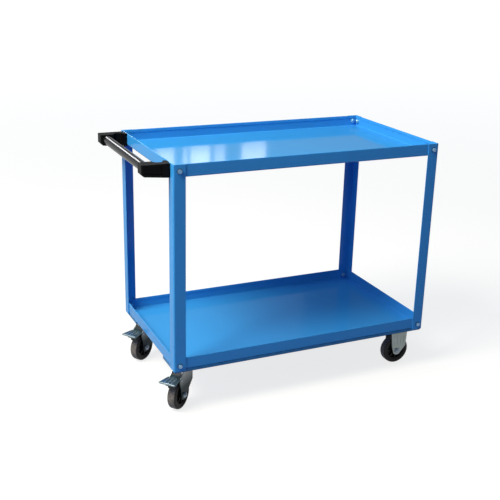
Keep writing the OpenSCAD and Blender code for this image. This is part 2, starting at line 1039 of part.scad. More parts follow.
at_swivel_plate(front) caster_plate();  // plate_front_left
at_swivel_plate(front) race();  // race_front_left
at_swivel_plate(front) kingpin();  // kingpin_front_left
at_swivel(front) swivel_fork();  // fork_front_left
at_swivel(front) tyre(trail);  // tyre_front_left
at_swivel(front) wheel(trail);  // wheel_front_left
at_swivel(front) sleeve(trail);  // sleeve_front_left
at_swivel(front) axle(trail);  // axle_front_left
at_swivel(front) axle_nut(trail);  // axle_nut_front_left
at_swivel(front) brake_pin();  // brake_pin_front_left
at_swivel(front) pedal();  // pedal_front_left
at_swivel(front) shoe();  // shoe_front_left

at_swivel_plate(rear) caster_plate();  // plate_rear_left
at_swivel_plate(rear) race();  // race_rear_left
at_swivel_plate(rear) kingpin();  // kingpin_rear_left
at_swivel(rear) swivel_fork();  // fork_rear_left
at_swivel(rear) tyre(trail);  // tyre_rear_left
at_swivel(rear) wheel(trail);  // wheel_rear_left
at_swivel(rear) sleeve(trail);  // sleeve_rear_left
at_swivel(rear) axle(trail);  // axle_rear_left
at_swivel(rear) axle_nut(trail);  // axle_nut_rear_left
at_swivel(rear) brake_pin();  // brake_pin_rear_left
at_swivel(rear) pedal();  // pedal_rear_left
at_swivel(rear) shoe();  // shoe_rear_left

at_fixed(front) fixed_plate();  // plate_front_right
at_fixed(front) fixed_fork();  // fork_front_right
at_fixed(front) tyre(0);  // tyre_front_right
at_fixed(front) wheel(0);  // wheel_front_right
at_fixed(front) sleeve(0);  // sleeve_front_right
at_fixed(front) axle(0);  // axle_front_right
at_fixed(front) axle_nut(0);  // axle_nut_front_right

at_fixed(rear) fixed_plate();  // plate_rear_right
at_fixed(rear) fixed_fork();  // fork_rear_right
at_fixed(rear) tyre(0);  // tyre_rear_right
at_fixed(rear) wheel(0);  // wheel_rear_right
at_fixed(rear) sleeve(0);  // sleeve_rear_right
at_fixed(rear) axle(0);  // axle_rear_right
at_fixed(rear) axle_nut(0);  // axle_nut_rear_right
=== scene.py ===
"""The looks of a two-tray steel tool cart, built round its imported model."""

import json
import math

import bmesh
import bpy
from mathutils import Matrix, Vector


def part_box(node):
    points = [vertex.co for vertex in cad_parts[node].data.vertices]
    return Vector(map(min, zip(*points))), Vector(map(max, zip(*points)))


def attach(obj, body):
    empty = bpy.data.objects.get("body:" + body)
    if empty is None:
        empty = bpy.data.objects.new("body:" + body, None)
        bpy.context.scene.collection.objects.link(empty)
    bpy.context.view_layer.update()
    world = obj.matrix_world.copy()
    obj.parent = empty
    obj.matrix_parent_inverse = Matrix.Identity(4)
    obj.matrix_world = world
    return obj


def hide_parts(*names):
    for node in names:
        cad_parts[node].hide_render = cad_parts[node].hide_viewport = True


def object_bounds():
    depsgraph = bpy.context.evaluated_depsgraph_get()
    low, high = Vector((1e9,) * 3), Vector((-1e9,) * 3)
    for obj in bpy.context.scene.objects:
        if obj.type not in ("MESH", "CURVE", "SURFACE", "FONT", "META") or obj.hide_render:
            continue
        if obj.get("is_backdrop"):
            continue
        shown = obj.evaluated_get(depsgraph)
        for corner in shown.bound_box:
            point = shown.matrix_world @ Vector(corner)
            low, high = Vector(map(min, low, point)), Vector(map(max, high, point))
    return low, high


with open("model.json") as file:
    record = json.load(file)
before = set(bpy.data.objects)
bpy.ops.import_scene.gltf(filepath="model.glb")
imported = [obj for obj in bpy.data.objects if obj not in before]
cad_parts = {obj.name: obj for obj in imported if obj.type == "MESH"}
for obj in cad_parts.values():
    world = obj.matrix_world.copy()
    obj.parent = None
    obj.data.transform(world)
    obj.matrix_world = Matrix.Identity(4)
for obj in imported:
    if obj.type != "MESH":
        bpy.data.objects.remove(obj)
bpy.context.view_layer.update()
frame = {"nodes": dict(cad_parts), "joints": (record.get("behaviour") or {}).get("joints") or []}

# The camera stands in front of the cart's left end and looks down on it. Its place, lens
# and slight roll were fitted to the photograph's straight edges.

MM = 0.001
CAMERA_FROM_MIDDLE = Vector((-1277.5, -2577.9, 1417.8)) * MM
CAMERA_TURN = math.radians(24.72)
CAMERA_DOWN = math.radians(19.26)
CAMERA_ROLL = math.radians(1.42)
CAMERA_LENS = 63.2
CAMERA_SENSOR = 36
CAMERA_REACH = 100

tray_low, tray_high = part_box("upper_tray")
cart_middle = (tray_low + tray_high) / 2
camera_data = bpy.data.cameras.new("camera")
camera_data.lens = CAMERA_LENS
camera_data.sensor_width = CAMERA_SENSOR
camera_data.clip_end = CAMERA_REACH
camera = bpy.data.objects.new("camera", camera_data)
bpy.context.scene.collection.objects.link(camera)
camera.matrix_world = (
    Matrix.Translation(Vector((cart_middle.x, cart_middle.y, 0)) + CAMERA_FROM_MIDDLE)
    @ Matrix.Rotation(-CAMERA_TURN, 4, "Z")
    @ Matrix.Rotation(math.pi / 2 - CAMERA_DOWN, 4, "X")
    @ Matrix.Rotation(CAMERA_ROLL, 4, "Z")
)
bpy.context.scene.camera = camera

# Soft studio light: one large panel high on the left, weak ones behind and in front, and a
# sky that is paler on the left and white to the camera alone. Window panes and two faint
# sheets of light stand far behind the cart, where they mirror in the trays' floors.

SKY_TILT = math.radians(35)
SKY_FROM = Vector((-math.cos(SKY_TILT), 0, math.sin(SKY_TILT)))
SKY_COLOR = (0.73, 0.84, 1.0, 1)
SKY_STRENGTH = 0.72
SKY_LEAST = 0.10
WHITE = (1, 1, 1, 1)
PANES_BEHIND = 8
WINDOW_LOW = 2.71
WINDOW_HIGH = 3.3
# Each pane's left and right edge in degrees from straight behind, foot, top and radiance
PANES = (
    (18.35, 19.5, WINDOW_LOW, WINDOW_HIGH, 2.9),
    (20.1, 20.4, WINDOW_LOW, WINDOW_HIGH, 2.2),
    (20.6, 21.9, WINDOW_LOW, WINDOW_HIGH, 3.1),
    (22.2, 22.9, WINDOW_LOW, WINDOW_HIGH, 1.9),
    (24.0, 25.6, WINDOW_LOW, WINDOW_HIGH, 2.4),
    (8.0, 37.0, 2.2, 3.4, 0.18),
    (8.0, 28.6, 3.4, 4.8, 0.18),
)


def add_panel(name, place, target, width, height, power, color=(1, 1, 1)):
    light = bpy.data.lights.new(name, "AREA")
    light.color = color
    light.shape = "RECTANGLE"
    light.size = width
    light.size_y = height
    light.energy = power
    panel = bpy.data.objects.new(name, light)
    bpy.context.scene.collection.objects.link(panel)
    panel.location = place
    panel.rotation_mode = "QUATERNION"
    panel.rotation_quaternion = (Vector(target) - Vector(place)).to_track_quat("-Z", "Y")
    panel.visible_camera = False


def fill(tree, node, inputs):
    """Gives a node's inputs their values, or links them to other nodes' outputs."""
    for key, value in inputs.items():
        if isinstance(value, bpy.types.NodeSocket):
            tree.links.new(value, node.inputs[key])
        else:
            node.inputs[key].default_value = value
    return node


def add_node(tree, kind, inputs=None, **settings):
    node = tree.nodes.new(f"ShaderNode{kind}")
    for name, value in settings.items():
        setattr(node, name, value)
    return fill(tree, node, inputs or {})


add_panel(
    "panel_left", place=(-2.5, -0.65, 3.55), target=(0, 0, 0.5), width=1.8, height=1.8,
    power=206, color=(1.0, 0.98, 0.78),
)
add_panel(
    "panel_behind", place=(-1.07, 8, 3.79), target=(-0.55, 0, 0.78), width=1.5, height=0.7,
    power=30,
)
add_panel(
    "panel_front", place=(-1.2, -3.6, 2.6), target=(0, 0, 0.4), width=1.4, height=1.0,
    power=4, color=(0.6, 0.7, 1.0),
)
for number, (start, end, foot, top, radiance) in enumerate(PANES):
    reach = PANES_BEHIND - camera.location.y
    pane_left = camera.location.x + reach * math.tan(math.radians(start))
    pane_right = camera.location.x + reach * math.tan(math.radians(end))
    width, height = pane_right - pane_left, top - foot
    middle = Vector(((pane_left + pane_right) / 2, PANES_BEHIND, (foot + top) / 2))
    add_panel(
        f"window_pane_{number}", middle, middle - Vector((0, 1, 0)), width, height,
        radiance * math.pi * width * height,
    )

world = bpy.data.worlds.new("studio")
bpy.context.scene.world = world
world.use_nodes = True
tree = world.node_tree
direction = add_node(tree, "TexCoord")
towards = add_node(
    tree, "VectorMath", {0: direction.outputs["Generated"], 1: SKY_FROM},
    operation="DOT_PRODUCT",
)
lit_side = add_node(tree, "MapRange", {
    "Value": towards.outputs["Value"], "To Min": SKY_LEAST, "To Max": SKY_STRENGTH,
})
sky = fill(tree, tree.nodes["Background"], {
    "Color": SKY_COLOR, "Strength": lit_side.outputs["Result"],
})
seen_sky = add_node(tree, "Background", {"Color": WHITE})
path = add_node(tree, "LightPath")
seen_or_lit = add_node(tree, "MixShader", {
    0: path.outputs["Is Camera Ray"], 1: sky.outputs[0], 2: seen_sky.outputs[0],
})
fill(tree, tree.nodes["World Output"], {"Surface": seen_or_lit.outputs[0]})

bpy.context.scene.view_settings.view_transform = "Standard"

# The floor is a plain pale sheet that runs far past the cart and turns up into a low wall,
# so that nothing but white lies behind the cart. Glossy paint mirrors it at half its
# brightness, and it throws a bluish light back up.

FULL_TURN = 2 * math.pi
FLOOR_RADIUS = 20.0
FLOOR_STEPS = 96
WALL_HEIGHT = 4.4
COVE_RADIUS = 2.0
COVE_STEPS = 8
FLOOR_MERGE = 1e-5
NEAR = 2.5
FAR = 10.0
PAPER_NEAR = 0.78
PAPER_FAR = 0.96
PAPER_IN_MIRRORS = 0.5
PAPER_SHADED = (0.28, 0.28, 0.28, 1)
PAPER_BOUNCE = (0.10, 0.145, 0.30, 1)


def make_piece(name, bm):
    mesh = bpy.data.meshes.new(name)
    bm.to_mesh(mesh)
    bm.free()
    piece = bpy.data.objects.new(name, mesh)
    bpy.context.scene.collection.objects.link(piece)
    return piece


def verts_of(geom):
    return [v for v in geom if isinstance(v, bmesh.types.BMVert)]


bm = bmesh.new()
corner = FLOOR_RADIUS - COVE_RADIUS
outline = [bm.verts.new((0, 0, 0)), bm.verts.new((corner, 0, 0))]
bm.edges.new(outline)
cove = bmesh.ops.spin(
    bm, geom=[outline[1]], cent=(corner, 0, COVE_RADIUS), axis=(0, -1, 0),
    angle=math.pi / 2, steps=COVE_STEPS,
)
wall = bmesh.ops.extrude_vert_indiv(bm, verts=verts_of(cove["geom_last"]))
bmesh.ops.translate(bm, verts=wall["verts"], vec=(0, 0, WALL_HEIGHT - COVE_RADIUS))
bmesh.ops.spin(
    bm, geom=bm.verts[:] + bm.edges[:], cent=(0, 0, 0), axis=(0, 0, 1), angle=FULL_TURN,
    steps=FLOOR_STEPS, use_merge=True,
)
bmesh.ops.remove_doubles(bm, verts=bm.verts, dist=FLOOR_MERGE)
bmesh.ops.recalc_face_normals(bm, faces=bm.faces)
floor = make_piece("floor", bm)
floor.data.shade_smooth()
floor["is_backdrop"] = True

paper = bpy.data.materials.new("white_paper")
paper.use_nodes = True
tree = paper.node_tree
tree.nodes.clear()
place = add_node(tree, "TexCoord")
distance = add_node(tree, "VectorMath", {0: place.outputs["Object"]}, operation="LENGTH")
far_off = add_node(tree, "MapRange", {
    "Value": distance.outputs["Value"], "From Min": NEAR, "From Max": FAR,
    "To Min": PAPER_NEAR, "To Max": PAPER_FAR,
})
path = add_node(tree, "LightPath")
mirrored = add_node(tree, "MapRange", {
    "Value": path.outputs["Is Glossy Ray"], "To Min": 1.0, "To Max": PAPER_IN_MIRRORS,
})
dimmed = add_node(
    tree, "Math", {0: far_off.outputs["Result"], 1: mirrored.outputs["Result"]},
    operation="MULTIPLY",
)
glow = add_node(tree, "Emission", {"Strength": dimmed.outputs[0]})
shaded = add_node(tree, "BsdfDiffuse", {"Color": PAPER_SHADED})
seen = add_node(tree, "AddShader", {0: glow.outputs[0], 1: shaded.outputs[0]})
bounce = add_node(tree, "BsdfDiffuse", {"Color": PAPER_BOUNCE})
seen_by = path.outputs["Is Camera Ray"]
for other in ("Is Glossy Ray", "Is Transmission Ray"):
    either = add_node(tree, "Math", {0: seen_by, 1: path.outputs[other]}, operation="MAXIMUM")
    seen_by = either.outputs[0]
seen_or_lit = add_node(tree, "MixShader", {0: seen_by, 1: bounce.outputs[0], 2: seen.outputs[0]})
add_node(tree, "OutputMaterial", {"Surface": seen_or_lit.outputs[0]})
floor.data.materials.append(paper)

# Trays: two shallow pans of 1.5 mm steel sheet, bent up on four sides and folded over
# inwards along the rim, then powder-coated blue as one piece.

SHEET = 1.5 * MM
TRAY_BEND = 4 * MM
HEM_HEIGHT = 10.5 * MM
HEM_EDGE = 0.5 * MM
HEM_GAP = 0.1 * MM
CORNER_STEPS = 6
LEAST_RADIUS = 0.3 * MM
CREASE = math.radians(50)
MID_GREY = (0.5, 0.5, 0.5, 1)
VECTOR, COLOR, FLOAT = "NodeSocketVector", "NodeSocketColor", "NodeSocketFloat"


def shader_group(name, inputs, outputs):
    """An empty node group with the given sockets; returns it with its two ends."""
    group = bpy.data.node_groups.new(name, "ShaderNodeTree")
    for label, kind, value in inputs:
        socket = group.interface.new_socket(label, in_out="INPUT", socket_type=kind)
        if value is not None:
            socket.default_value = value
    for label, kind in outputs:
        group.interface.new_socket(label, in_out="OUTPUT", socket_type=kind)
    return group, group.nodes.new("NodeGroupInput"), group.nodes.new("NodeGroupOutput")


# A surface's slow change of tone: dust, handling and the unevenness of a coat
uneven_tone, given, result = shader_group(
    "uneven_tone",
    [("Place", VECTOR, None), ("Color", COLOR, MID_GREY), ("Scale", FLOAT, 6.0),
     ("Darker", FLOAT, 0.08)],
    [("Color", COLOR)],
)
clouds = add_node(uneven_tone, "TexNoise", {
    "Vector": given.outputs["Place"], "Scale": given.outputs["Scale"], "Detail": 4,
    "Roughness": 0.6,
})
loss = add_node(
    uneven_tone, "Math", {0: clouds.outputs["Fac"], 1: given.outputs["Darker"]},
    operation="MULTIPLY",
)
kept = add_node(uneven_tone, "Math", {0: 1.0, 1: loss.outputs[0]}, operation="SUBTRACT")
toned = add_node(
    uneven_tone, "VectorMath", {0: given.outputs["Color"], "Scale": kept.outputs[0]},
    operation="SCALE",
)
fill(uneven_tone, result, {"Color": toned.outputs[0]})

# A surface's fine grain: orange peel, moulded texture or zinc crystals, as a height and
# as a roughness between a smooth and a rough one
fine_grain, given, result = shader_group(
    "fine_grain",
    [("Place", VECTOR, None), ("Scale", FLOAT, 300.0), ("Smooth", FLOAT, 0.3),
     ("Rough", FLOAT, 0.5)],
    [("Height", FLOAT), ("Roughness", FLOAT)],
)
specks = add_node(fine_grain, "TexNoise", {
    "Vector": given.outputs["Place"], "Scale": given.outputs["Scale"], "Detail": 2,
})
spread = add_node(fine_grain, "MapRange", {
    "Value": specks.outputs["Fac"], "From Min": 0.3, "From Max": 0.7,
    "To Min": given.outputs["Smooth"], "To Max": given.outputs["Rough"],
})
fill(fine_grain, result, {
    "Height": specks.outputs["Fac"], "Roughness": spread.outputs["Result"],
})


def finish(
    name, color, tone_scale, darker, grain_scale, smooth, rough, depth, metal=0.0, specular=0.5
):
    """A material with uneven_tone in its colour, and fine_grain in its gloss and bumps."""
    material = bpy.data.materials.new(name)
    material.use_nodes = True
    tree = material.node_tree
    place = add_node(tree, "TexCoord", name="place").outputs["Object"]
    drift = add_node(
        tree, "Group",
        {"Place": place, "Color": (*color, 1), "Scale": tone_scale, "Darker": darker},
        node_tree=uneven_tone, name="drift",
    )
    peel = add_node(
        tree, "Group",
        {"Place": place, "Scale": grain_scale, "Smooth": smooth, "Rough": rough},
        node_tree=fine_grain,
    )
    bump = add_node(tree, "Bump", {"Distance": depth, "Height": peel.outputs["Height"]})
    fill(tree, tree.nodes["Principled BSDF"], {
        "Base Color": drift.outputs["Color"], "Roughness": peel.outputs["Roughness"],
        "Metallic": metal, "Specular IOR Level": specular, "Normal": bump.outputs["Normal"],
    })
    return material


def powder_coat(name, color):
    return finish(
        name, color, tone_scale=3.0, darker=0.10, grain_scale=260, smooth=0.06, rough=0.12,
        depth=0.02 * MM, specular=0.15,
    )


def stand_in(piece, node, material, body="cart"):
    """Puts the finish on a piece and lets it stand for a CAD node."""
    piece.data.shade_smooth()
    piece.data.materials.append(material)
    weigh = piece.modifiers.new("flat_faces_stay_flat", "WEIGHTED_NORMAL")
    weigh.keep_sharp = True
    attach(piece, body)
    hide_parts(node)


def sharp_edges(bm, angle):
    return [e for e in bm.edges if len(e.link_faces) == 2 and e.calc_face_angle() > angle]


def mark_sharp(bm, angle=CREASE):
    for edge in sharp_edges(bm, angle):
        edge.smooth = False


def edges_of(verts):
    return list(dict.fromkeys(e for v in verts for e in v.link_edges))


def rounded_loop(bm, size, radius, z, cap):
    """A rectangle with round corners: a circle whose quarters are moved apart."""
    half_step = math.pi / (4 * CORNER_STEPS)
    verts = bmesh.ops.create_circle(
        bm, cap_ends=cap, radius=radius / math.cos(half_step), segments=4 * CORNER_STEPS
    )["verts"]
    bmesh.ops.rotate(bm, verts=verts, cent=(0, 0, 0), matrix=Matrix.Rotation(half_step, 3, "Z"))
    for vert in verts:
        vert.co.x += math.copysign(size.x / 2 - radius, vert.co.x)
        vert.co.y += math.copysign(size.y / 2 - radius, vert.co.y)
        vert.co.z += z
    return verts


def stack_loops(bm, size, radius, stations):
    """Skins a row of rounded rectangles, each given by its inset from the size and its height."""
    last = len(stations) - 1
    before = []
    for number, (inset, z) in enumerate(stations):
        smaller = Vector((size.x - 2 * inset, size.y - 2 * inset))
        least = max(radius - inset, LEAST_RADIUS)
        ring = rounded_loop(bm, smaller, least, z, cap=number in (0, last))
        edges = [e for e in edges_of(ring) if set(e.verts) <= set(ring)]
        if before:
            bmesh.ops.bridge_loops(bm, edges=before + edges)
        before = edges
    bmesh.ops.recalc_face_normals(bm, faces=bm.faces)


def bend(inset, z, radius, start, end):
    """Stations round a bend's middle: 0 degrees lies below it, 90 outside and 180 above."""
    steps = range(CORNER_STEPS + 1)
    turns = [math.radians(start + (end - start) * k / CORNER_STEPS) for k in steps]
    return [(inset - radius * math.sin(t), z - radius * math.cos(t)) for t in turns]


def stand_stack(name, node, radius, stations, material):
    """Skins the stations inside a node's box and lets the piece stand for the node."""
    low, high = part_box(node)
    bm = bmesh.new()
    stack_loops(bm, high - low, radius, stations)
    foot = ((low.x + high.x) / 2, (low.y + high.y) / 2, low.z)
    bmesh.ops.translate(bm, verts=bm.verts, vec=foot)
    mark_sharp(bm)
    stand_in(make_piece(name, bm), node, material)


blue_paint = powder_coat("blue_paint", (0.045, 0.34, 0.83))

for node in ("upper_tray", "lower_tray"):
    low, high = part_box(node)
    rim = high.z - low.z
    fold = (2 * SHEET + HEM_GAP) / 2
    stations = bend(TRAY_BEND, TRAY_BEND, TRAY_BEND, 0, 90)
    stations += bend(fold, rim - fold, fold, 90, 270)
    stations += [
        (2 * fold, rim - HEM_HEIGHT + HEM_EDGE),
        (2 * fold - HEM_EDGE, rim - HEM_HEIGHT),
        (SHEET + HEM_EDGE, rim - HEM_HEIGHT),
        (SHEET, rim - HEM_HEIGHT - HEM_EDGE),
    ]
    stations += bend(TRAY_BEND, TRAY_BEND, TRAY_BEND - SHEET, 90, 0)
    stand_stack(f"{node}_pan", node, TRAY_BEND, stations, blue_paint)

# Caster rails: two channels of 2 mm steel sheet under the lower tray's long sides, open at
# the top and spot-welded to it. Their blue is painted darker than the trays', as painted shade
# for the little light that reaches them below the tray.

RAIL_SHEET = 2 * MM
RAIL_BEND = 4 * MM

# painted shade: a darker blue than the trays' paint, for the shade below the lower tray
rail_paint_painted_shade = powder_coat("rail_paint_painted_shade", (0.026, 0.20, 0.47))

for node in ("rail_front", "rail_rear"):
    low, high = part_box(node)
    stations = bend(RAIL_BEND, RAIL_BEND, RAIL_BEND, 0, 90)
    stations += [(0, high.z - low.z), (RAIL_SHEET, high.z - low.z)]
    stations += bend(RAIL_BEND, RAIL_BEND, RAIL_BEND - RAIL_SHEET, 90, 0)
    stand_stack(f"{node}_channel", node, RAIL_BEND, stations, rail_paint_painted_shade)

# Corner posts: four angles of 2.5 mm steel sheet with a rounded bend, cut square at both
# ends, blue like the trays that they are bolted round.

POST_SHEET = 2.5 * MM
POST_BEND = 5 * MM
POST_BEND_STEPS = 8
CUT_EDGE = 0.5 * MM
CUT_CREASE = math.radians(40)


def round_off(bm, edges, width, segments, **limits):
    return bmesh.ops.bevel(
        bm, geom=edges, offset=width, affect="EDGES", segments=segments, profile=0.5,
        material=-1, **limits,
    )["verts"]


def soften(bm, width, angle=CUT_CREASE, segments=2):
    """Rounds every edge that is sharper than the angle."""
    round_off(bm, sharp_edges(bm, angle), width, segments, clamp_overlap=True)


for node in ("post_front_left", "post_front_right", "post_rear_left", "post_rear_right"):
    low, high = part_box(node)
    corner_x, inner_x = (low.x, high.x) if "left" in node else (high.x, low.x)
    corner_y, inner_y = (low.y, high.y) if "front" in node else (high.y, low.y)
    bm = bmesh.new()
    ends = [bm.verts.new(p) for p in (
        (inner_x, corner_y, low.z), (corner_x, corner_y, low.z), (corner_x, inner_y, low.z)
    )]
    foot = [bm.edges.new(pair) for pair in zip(ends, ends[1:])]
    rise = bmesh.ops.extrude_edge_only(bm, edges=foot)
    bmesh.ops.translate(bm, verts=verts_of(rise["geom"]), vec=(0, 0, high.z - low.z))
    bmesh.ops.recalc_face_normals(bm, faces=bm.faces)
    outward = Vector((corner_x - inner_x, corner_y - inner_y, 0))
    if bm.faces[:][0].normal.dot(outward) < 0:
        bmesh.ops.reverse_faces(bm, faces=bm.faces)
    round_off(bm, sharp_edges(bm, CUT_CREASE), POST_BEND, POST_BEND_STEPS)
    bmesh.ops.solidify(bm, geom=bm.faces[:], thickness=POST_SHEET)
    soften(bm, CUT_EDGE)
    stand_in(make_piece(f"{node}_angle", bm), node, blue_paint)

# Tray bolts: ten M8 hexagon bolts, zinc-plated, each with a flat washer outside the post and
# a nut inside the tray. The heads and nuts are tinted blue as a painted reflection of the blue
# steel round them, and the washers are darkened as painted shade round the heads. Both trays
# are bolted along their long sides, and the upper one also at the end away from the handle.

BOLT_INSET = 19.5 * MM
BOLT_WIDTH = 13 * MM
BOLT_RADIUS = 4 * MM
BOLT_END = 2 * MM
BOLT_STEPS = 24
BOLT_TURN = math.radians(17)
HEAD_HEIGHT = 5.3 * MM
HEAD_FACE = 0.3 * MM
HEAD_FACE_RADIUS = 5.9 * MM
NUT_HEIGHT = 6.5 * MM
WASHER_HEIGHT = 1.6 * MM
WASHER_PROFILE = ((4.5, 0), (8.2, 0), (8.5, 0.3), (8.5, 1.3), (8.2, 1.6), (4.5, 1.6))
HEX_EDGE = 0.9 * MM
HEX_RIM = 0.3 * MM
THREAD_PITCH = 1.25 * MM
THREAD_DEPTH = 0.45 * MM
THREAD_START = 0.5 * MM
TURNED_MERGE = 1e-6
TURNED_CREASE = math.radians(35)

# painted reflection: the heads' zinc is tinted blue by the blue steel round them
head_zinc_painted_reflection = finish(
    "head_zinc_painted_reflection", (0.30, 0.54, 0.85), tone_scale=40, darker=0.35, grain_scale=900,
    smooth=0.20, rough=0.40, depth=0.04 * MM, metal=0.8,
)
# painted reflection: the nuts' zinc is tinted a light blue by the tray round them
nut_zinc_painted_reflection = finish(
    "nut_zinc_painted_reflection", (0.40, 0.78, 0.90), tone_scale=40, darker=0.3, grain_scale=900,
    smooth=0.20, rough=0.40, depth=0.04 * MM, metal=0.3,
)
# painted shade: the washers are a dark blue zinc, for the shade round the heads
washer_painted_shade_zinc = finish(
    "washer_painted_shade_zinc", (0.035, 0.10, 0.19), tone_scale=40, darker=0.5, grain_scale=900,
    smooth=0.30, rough=0.50, depth=0.04 * MM, metal=0.6, specular=0.2,
)


def connected(verts):
    """All vertices that edges join to the given ones."""
    found = dict.fromkeys(verts)
    todo = list(verts)
    while todo:
        for edge in todo.pop().link_edges:
            for vert in edge.verts:
                if vert not in found:
                    found[vert] = True
                    todo.append(vert)
    return list(found)


def turned(bm, profile, matrix, steps=48):
    """Spins a closed outline of (radius, height) points about Z and moves it by the matrix."""
    verts = [bm.verts.new((radius, 0, height)) for radius, height in profile]
    edges = [bm.edges.new(pair) for pair in zip(verts, verts[1:] + verts[:1])]
    bmesh.ops.spin(
        bm, geom=verts + edges, cent=(0, 0, 0), axis=(0, 0, 1), angle=FULL_TURN,
        steps=steps, use_merge=True,
    )
    bmesh.ops.remove_doubles(bm, verts=connected(verts), dist=TURNED_MERGE)
    made = connected([v for v in verts if v.is_valid])
    faces = dict.fromkeys(f for v in made for f in v.link_faces)
    bmesh.ops.recalc_face_normals(bm, faces=list(faces))
    bmesh.ops.transform(bm, matrix=matrix, verts=made)


def in_metres(profile):
    """Millimetre points of radius and height, in metres."""
    return [(radius * MM, height * MM) for radius, height in profile]


def hexagon(bm, width, height, matrix, chamfers=(False, True)):
    """A hexagon prism from z = 0, with the corners of its chosen ends cut off."""
    radius = width / math.sqrt(3)
    made = bmesh.ops.create_cone(
        bm, cap_ends=True, segments=6, radius1=radius, radius2=radius, depth=height,
        matrix=Matrix.Translation((0, 0, height / 2)),
    )["verts"]
    rims = [z for z, wanted in zip((0, height), chamfers) if wanted]
    edges = [
        e for e in edges_of(made)
        if any(all(abs(v.co.z - z) < HEX_RIM for v in e.verts) for z in rims)
    ]
    cut = round_off(bm, edges, HEX_EDGE, segments=2)
    bmesh.ops.transform(bm, matrix=matrix, verts=connected(cut))


def threaded_end(bm, radius, start, length, matrix):
    """The last turns of a bolt's thread, as rings, with a chamfer at the tip."""
    profile = [(0, start), (radius - THREAD_DEPTH, start)]
    turns = max(1, round(length / THREAD_PITCH))
    pitch = length / (turns + 0.5)
    for turn in range(turns):
        z = start + turn * pitch
        profile += [(radius, z + pitch / 2), (radius - THREAD_DEPTH, z + pitch)]
    profile += [(radius - 2 * THREAD_DEPTH, start + length), (0, start + length)]
    turned(bm, profile, matrix, BOLT_STEPS)


def aimed(place, direction, turn=0.0):
    """A matrix that moves the origin to place and turns +Z to direction."""
    tilt = Vector(direction).to_track_quat("Z", "Y").to_matrix().to_4x4()
    return Matrix.Translation(place) @ tilt @ Matrix.Rotation(turn, 4, "Z")


def raised(height):
    return Matrix.Translation((0, 0, height))


post_low, post_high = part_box("post_front_left")
far_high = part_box("post_rear_right")[1]
upper_bolt_z = post_high.z - BOLT_INSET
lower_bolt_z = post_low.z + BOLT_INSET
bolt_places = []
for corner_y, side_y in ((post_low.y, -1), (far_high.y, 1)):
    for bolt_x in (post_low.x + BOLT_INSET, far_high.x - BOLT_INSET):
        for level in (upper_bolt_z, lower_bolt_z):
            bolt_places.append((Vector((bolt_x, corner_y, level)), Vector((0, side_y, 0))))
    far_end = Vector((far_high.x, corner_y - side_y * BOLT_INSET, upper_bolt_z))
    bolt_places.append((far_end, Vector((1, 0, 0))))

heads = bmesh.new()
washers = bmesh.new()
nuts = bmesh.new()
for number, (place, outward) in enumerate(bolt_places):
    seat = aimed(place, outward, number * BOLT_TURN)
    turned(washers, in_metres(WASHER_PROFILE), seat)
    hexagon(heads, BOLT_WIDTH, HEAD_HEIGHT - HEAD_FACE, seat @ raised(WASHER_HEIGHT))
    turned(heads, [
        (0, -HEAD_FACE), (HEAD_FACE_RADIUS, -HEAD_FACE),
        (HEAD_FACE_RADIUS - HEAD_FACE, HEAD_FACE), (0, HEAD_FACE),
    ], seat @ raised(WASHER_HEIGHT + HEAD_HEIGHT - HEAD_FACE))
    inner = aimed(place - outward * (POST_SHEET + SHEET), -outward, number * BOLT_TURN)
    hexagon(nuts, BOLT_WIDTH, NUT_HEIGHT, inner, chamfers=(True, True))
    threaded_end(heads, BOLT_RADIUS, NUT_HEIGHT - THREAD_START, BOLT_END + THREAD_START, inner)
for name, bm, node, look in (
    ("tray_bolt_set", heads, "tray_bolts", head_zinc_painted_reflection),
    ("tray_washer_set", washers, "tray_washers", washer_painted_shade_zinc),
    ("tray_nut_set", nuts, "tray_nuts", nut_zinc_painted_reflection),
):
    mark_sharp(bm, TURNED_CREASE)
    stand_in(make_piece(name, bm), node, look)

# Grip bar: a steel tube with a glossy black coat, whose two ends sit in the sockets of
# the brackets.

GRIP_RADIUS = 15 * MM
GRIP_WALL = 2 * MM
GRIP_STEPS = 64

grip_paint = finish(
    "grip_paint", (0.010, 0.009, 0.010), tone_scale=20, darker=0.2, grain_scale=420,
    smooth=0.10, rough=0.18, depth=0.04 * MM, specular=0.4,
)

low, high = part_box("handle_bar")
length = high.y - low.y
bm = bmesh.new()
turned(bm, [
    (GRIP_RADIUS - GRIP_WALL, 0), (GRIP_RADIUS - CUT_EDGE, 0), (GRIP_RADIUS, CUT_EDGE),
    (GRIP_RADIUS, length - CUT_EDGE), (GRIP_RADIUS - CUT_EDGE, length),
    (GRIP_RADIUS - GRIP_WALL, length),
], aimed(((low.x + high.x) / 2, low.y, (low.z + high.z) / 2), (0, 1, 0)), GRIP_STEPS)
mark_sharp(bm, TURNED_CREASE)
stand_in(make_piece("grip_tube", bm), "handle_bar", grip_paint)

# Handle brackets: two black plastic mouldings with rounded edges and a sunk panel on the
# outer side, screwed to the left end of the upper tray.

MOULDED_EDGE = 1.3 * MM
MOULDED_SEGMENTS = 3
COPY_MERGE = 1e-6
COPY_FLAT = math.radians(0.4)
COPY_CREASE = math.radians(30)

black_plastic = finish(
    "black_plastic", (0.003, 0.003, 0.004), tone_scale=30, darker=0.25, grain_scale=1300,
    smooth=0.30, rough=0.46, depth=0.08 * MM, specular=0.10,
)


def soft_copy(node, width, segments=2):
    """A merged copy of a node's mesh with its sharp edges rounded."""
    bm = bmesh.new()
    bm.from_mesh(frame["nodes"][node].data)
    bmesh.ops.remove_doubles(bm, verts=bm.verts, dist=COPY_MERGE)
    bmesh.ops.dissolve_limit(bm, angle_limit=COPY_FLAT, verts=bm.verts, edges=bm.edges)
    soften(bm, width, COPY_CREASE, segments)
    mark_sharp(bm)
    return bm


for node in ("handle_bracket_front", "handle_bracket_rear"):
    bm = soft_copy(node, MOULDED_EDGE, MOULDED_SEGMENTS)
    stand_in(make_piece(f"{node}_moulding", bm), node, black_plastic)

